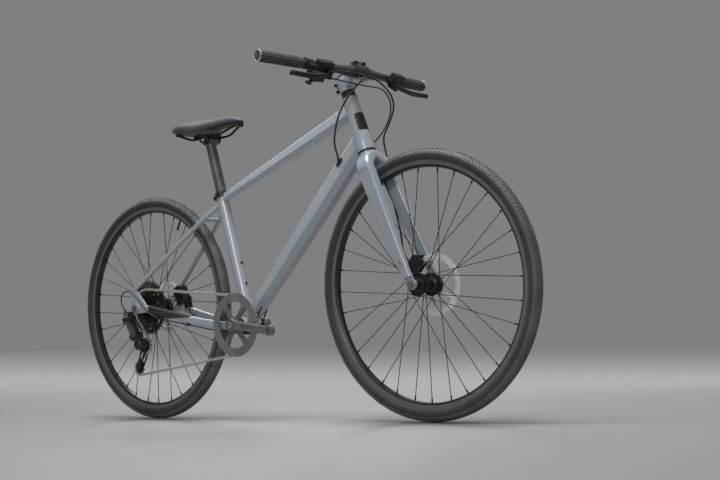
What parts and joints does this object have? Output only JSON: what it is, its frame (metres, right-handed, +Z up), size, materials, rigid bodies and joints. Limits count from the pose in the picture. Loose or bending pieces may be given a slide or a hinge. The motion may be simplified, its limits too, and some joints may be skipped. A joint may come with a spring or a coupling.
{
  "type": "hybrid bicycle",
  "caption": "Flat-bar hybrid bicycle with a formed alloy frame, rigid fork, disc brakes, wide-range rear derailleur drive, guarded chainring and no pedals.",
  "frame": {"origin": "on the ground, midway between the wheel axles, in the bicycle's centre plane", "axes": "+X forward, +Y to the rider's left, +Z up"},
  "size_m": [1.7928, 0.6652, 0.9624],
  "materials": {
    "frame_paint": "gloss pale blue-grey paint",
    "black_alloy": "satin black",
    "rim_alloy": "satin dark grey",
    "black_steel": "black finished steel",
    "steel": "brushed",
    "crank_alloy": "satin grey",
    "silver_alloy": "satin silver",
    "tyre": "matt black rubber",
    "rubber": "matt black",
    "plastic": "matt black",
    "foam": "black synthetic cover over foam"
  },
  "bodies": {
    "frame": {"head_tube": "frame_paint", "top_tube": "frame_paint", "down_tube": "frame_paint", "seat_tube": "frame_paint", "bottom_bracket_shell": "frame_paint", "chainstays": "frame_paint", "seatstays": "frame_paint", "dropouts": "frame_paint", "chainstay_guard": "rubber", "bearing_cups": "black_alloy", "seat_collar": "black_alloy", "bottle_bolts": "black_steel", "cable_guides": "plastic", "rear_axle": "steel", "rear_caliper": "black_alloy", "rear_brake_hose": "plastic", "shift_housing": "plastic", "chain": "steel", "derailleur_knuckle": "black_alloy"},
    "fork": {"fork_steerer": "frame_paint", "fork_blades": "frame_paint", "headset_spacers": "black_alloy", "front_axle": "steel", "front_caliper": "black_alloy", "front_brake_hose": "plastic", "stem": "frame_paint", "cockpit_bolts": "black_steel", "handlebar": "black_alloy", "grips": "rubber", "brake_bodies": "black_alloy", "shifter_body": "plastic"},
    "front_wheel": {"front_tyre": "tyre", "front_rim": "rim_alloy", "front_spokes": "black_steel", "front_hub": "black_alloy", "front_rotor": "steel"},
    "rear_wheel": {"rear_tyre": "tyre", "rear_rim": "rim_alloy", "rear_spokes": "black_steel", "rear_hub": "black_alloy", "rear_rotor": "steel"},
    "cassette": {"cassette": "steel"},
    "crankset": {"crank_arm_right": "crank_alloy", "crank_arm_left": "crank_alloy", "chainring": "steel"},
    "brake_lever_right": {"brake_lever_right": "black_alloy"},
    "brake_lever_left": {"brake_lever_left": "black_alloy"},
    "shift_lever_main": {"shift_lever_main": "plastic"},
    "shift_lever_release": {"shift_lever_release": "plastic"},
    "derailleur_outer_link": {"derailleur_outer_link": "crank_alloy"},
    "derailleur_inner_link": {"derailleur_inner_link": "black_alloy"},
    "derailleur_carrier": {"derailleur_carrier": "plastic"},
    "derailleur_cage": {"derailleur_cage": "black_alloy"},
    "guide_pulley": {"guide_pulley": "plastic"},
    "tension_pulley": {"tension_pulley": "plastic"},
    "seatpost": {"seatpost": "black_alloy"},
    "saddle_clamp": {"saddle_clamp": "black_alloy"},
    "saddle": {"saddle_rails": "black_steel", "saddle_shell": "plastic", "saddle_pad": "foam"}
  },
  "joints": [
    {"name": "steering", "type": "hinge", "parent": "frame", "child": "fork", "pos_m": [0.5, 0, 0.33338], "axis": [-0.3123, 0, 0.95], "range_deg": [-65, 65], "deforming": ["rear_brake_hose", "shift_housing"]},
    {"name": "front_wheel_spin", "type": "hinge", "parent": "fork", "child": "front_wheel", "pos_m": [0.5475, 0, 0.349], "axis": [0, 1, 0], "continuous": true},
    {"name": "rear_wheel_spin", "type": "hinge", "parent": "frame", "child": "rear_wheel", "pos_m": [-0.5475, 0, 0.349], "axis": [0, 1, 0], "continuous": true},
    {"name": "crank_spin", "type": "hinge", "parent": "frame", "child": "crankset", "pos_m": [-0.12053, 0, 0.277], "axis": [0, 1, 0], "continuous": true, "deforming": ["chain"]},
    {"name": "cassette_spin", "type": "hinge", "parent": "frame", "child": "cassette", "pos_m": [-0.5475, 0, 0.349], "axis": [0, 1, 0], "continuous": true, "deforming": ["chain"]},
    {"name": "derailleur_shift", "type": "hinge", "parent": "frame", "child": "derailleur_outer_link", "pos_m": [-0.562, -0.09912, 0.30712], "axis": [1, 0, 0], "range_deg": [-30, 11.5], "deforming": ["chain"]},
    {"name": "derailleur_inner_swing", "type": "hinge", "parent": "frame", "child": "derailleur_inner_link", "pos_m": [-0.562, -0.08288, 0.31488], "axis": [1, 0, 0], "range_deg": [-30, 11.5]},
    {"name": "derailleur_carrier_swing", "type": "hinge", "parent": "derailleur_outer_link", "child": "derailleur_carrier", "pos_m": [-0.562, -0.07717, 0.26109], "axis": [1, 0, 0], "range_deg": [-11.5, 30]},
    {"name": "cage_swing", "type": "hinge", "parent": "derailleur_carrier", "child": "derailleur_cage", "pos_m": [-0.556, 0, 0.23], "axis": [0, 1, 0], "range_deg": [-25, 15], "stiffness_Nm_per_rad": 0.8, "deforming": ["chain"]},
    {"name": "guide_pulley_spin", "type": "hinge", "parent": "derailleur_cage", "child": "guide_pulley", "pos_m": [-0.556, 0, 0.23], "axis": [0, 1, 0], "continuous": true},
    {"name": "tension_pulley_spin", "type": "hinge", "parent": "derailleur_cage", "child": "tension_pulley", "pos_m": [-0.59325, 0, 0.16147], "axis": [0, 1, 0], "continuous": true},
    {"name": "brake_lever_left_pull", "type": "hinge", "parent": "fork", "child": "brake_lever_left", "pos_m": [0.37791, 0.13395, 0.90695], "axis": [0.639, 0.0745, 0.7656], "range_deg": [0, 15], "stiffness_Nm_per_rad": 2.5, "springref_deg": -8.59},
    {"name": "brake_lever_right_pull", "type": "hinge", "parent": "fork", "child": "brake_lever_right", "pos_m": [0.37791, -0.13395, 0.90695], "axis": [-0.639, 0.0745, -0.7656], "range_deg": [0, 15], "stiffness_Nm_per_rad": 2.5, "springref_deg": -8.59},
    {"name": "shift_lever_main_push", "type": "hinge", "parent": "fork", "child": "shift_lever_main", "pos_m": [0.32053, -0.13931, 0.90469], "axis": [-0.639, 0.0745, -0.7656], "range_deg": [-22, 0], "stiffness_Nm_per_rad": 0.5, "springref_deg": 5.73},
    {"name": "shift_lever_release_pull", "type": "hinge", "parent": "fork", "child": "shift_lever_release", "pos_m": [0.32053, -0.13931, 0.90469], "axis": [-0.639, 0.0745, -0.7656], "range_deg": [0, 15], "stiffness_Nm_per_rad": 0.5, "springref_deg": -5.73},
    {"name": "seatpost_height", "type": "slide", "parent": "frame", "child": "seatpost", "axis": [-0.2453, 0, 0.9694], "range_m": [-0.055, 0.07]},
    {"name": "saddle_tilt", "type": "hinge", "parent": "seatpost", "child": "saddle_clamp", "pos_m": [-0.25033, 0, 0.84546], "axis": [0, 1, 0], "range_deg": [-10, 10]},
    {"name": "saddle_setback", "type": "slide", "parent": "saddle_clamp", "child": "saddle", "axis": [1, 0, 0], "range_m": [-0.015, 0.015]}
  ],
  "couplings": [
    {"joint": "cassette_spin", "follows": "crank_spin", "ratio": 1.5},
    {"joint": "guide_pulley_spin", "follows": "crank_spin", "ratio": -3.8182},
    {"joint": "tension_pulley_spin", "follows": "crank_spin", "ratio": 3.8182},
    {"joint": "derailleur_inner_swing", "follows": "derailleur_shift", "ratio": 1},
    {"joint": "derailleur_carrier_swing", "follows": "derailleur_shift", "ratio": -1}
  ]
}
